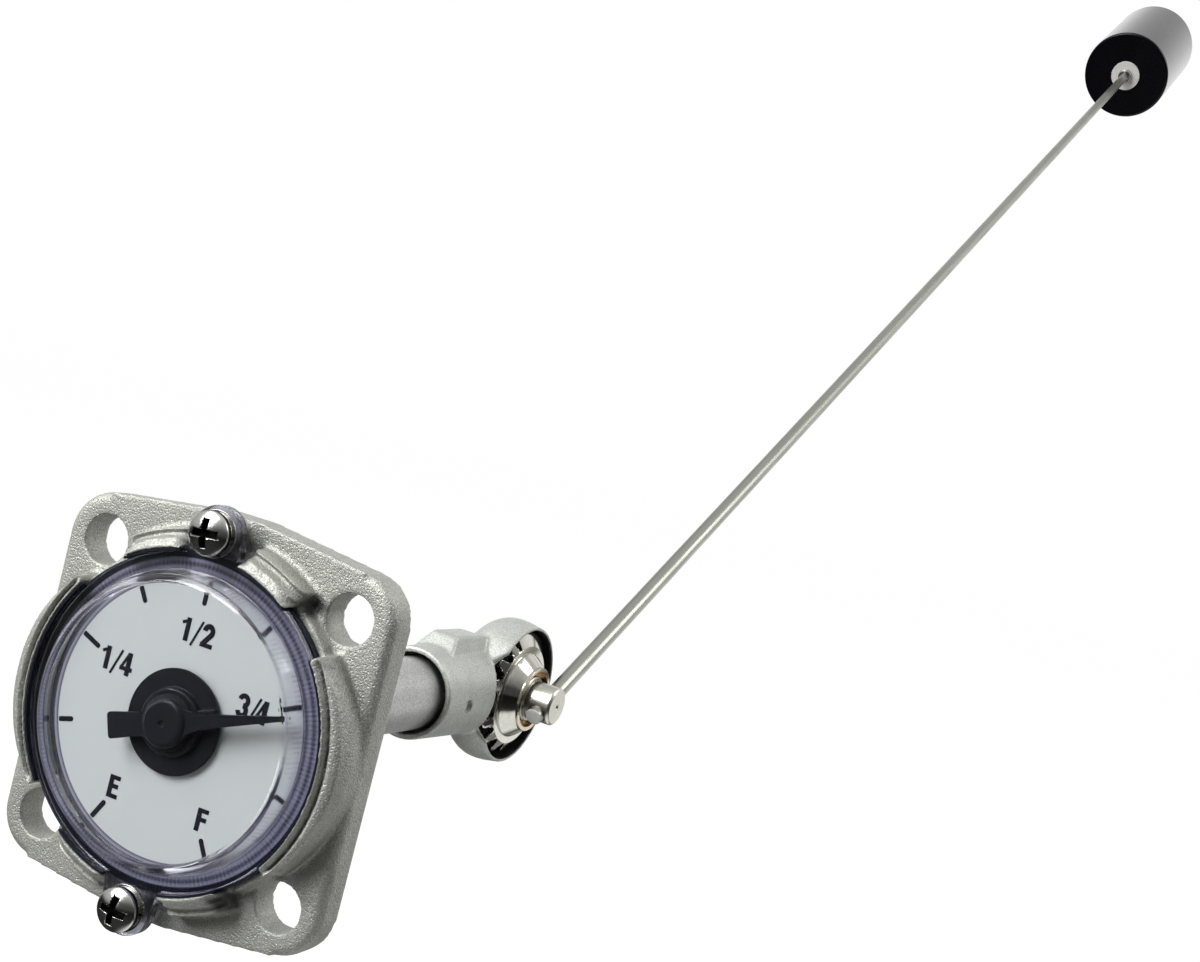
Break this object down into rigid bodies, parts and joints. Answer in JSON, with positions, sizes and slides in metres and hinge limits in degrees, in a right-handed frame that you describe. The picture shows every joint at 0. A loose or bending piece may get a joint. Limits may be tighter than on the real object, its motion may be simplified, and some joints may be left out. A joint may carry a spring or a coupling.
{
  "type": "mechanical level gauge",
  "caption": "Flanged tank level gauge: a round dial under a clear cover, a tube with a crown gear at its end, and a float on a long swinging rod.",
  "frame": {"origin": "centre of the flange's back face, on the axis of the support tube", "axes": "+Y from the dial into the tank along the tube, +X to the dial's right along the arm's pivot, +Z to the top of the dial"},
  "size_m": [0.0574, 0.5977, 0.319],
  "materials": {
    "cast_aluminium": "satin, fine cast grain",
    "housing_aluminium": "satin, smooth cast",
    "tube_aluminium": "satin, drawn tube",
    "bright_steel": "bright",
    "screw_steel": "bright plated",
    "gear_steel": "polished stainless",
    "rod_steel": "drawn stainless",
    "dial_white": "matt off-white",
    "gasket_rubber": "matt black",
    "clear_cover": "clear moulded plastic",
    "pointer_black": "satin black",
    "magnet_ferrite": "dark sintered",
    "bush_brass": "turned",
    "float_rubber": "matt black"
  },
  "bodies": {
    "head": {"head_casting": "cast_aluminium", "support_tube": "tube_aluminium", "gear_housing": "housing_aluminium", "tube_pin": "bright_steel", "dial_plate": "dial_white", "dial_gasket": "gasket_rubber", "lens": "clear_cover", "lens_screws": "screw_steel", "lens_washers": "bright_steel", "lock_washers": "bright_steel", "pivot_pin": "bright_steel", "front_bushing": "bush_brass", "rear_bushing": "bush_brass", "pivot_bush": "bush_brass"},
    "pointer": {"pointer_magnet": "magnet_ferrite", "pointer_disc": "pointer_black", "pointer": "pointer_black"},
    "drive": {"drive_shaft": "bright_steel", "drive_magnet": "magnet_ferrite", "magnet_hub": "bush_brass", "thrust_collar": "bright_steel", "pinion": "gear_steel"},
    "float_arm": {"crown_gear": "gear_steel", "pivot_shaft": "gear_steel", "shaft_clip": "bright_steel", "float_rod": "rod_steel", "float": "float_rubber", "near_washer": "bright_steel", "far_washer": "bright_steel", "rod_lock": "bright_steel", "rod_nut": "bright_steel"}
  },
  "joints": [
    {"name": "arm_swing", "type": "hinge", "parent": "head", "child": "float_arm", "pos_m": [0, 0.0857, 0], "axis": [1, 0, 0], "range_deg": [-91, 32.4]},
    {"name": "drive_turn", "type": "hinge", "parent": "head", "child": "drive", "pos_m": [0, 0.06, 0], "axis": [0, 1, 0], "range_deg": [-222, 79.5]},
    {"name": "pointer_turn", "type": "hinge", "parent": "head", "child": "pointer", "pos_m": [0, -0.008, 0], "axis": [0, 1, 0], "range_deg": [-222, 79.5]}
  ],
  "couplings": [
    {"joint": "drive_turn", "follows": "arm_swing", "ratio": 2.4286},
    {"joint": "pointer_turn", "follows": "arm_swing", "ratio": 2.4286}
  ]
}
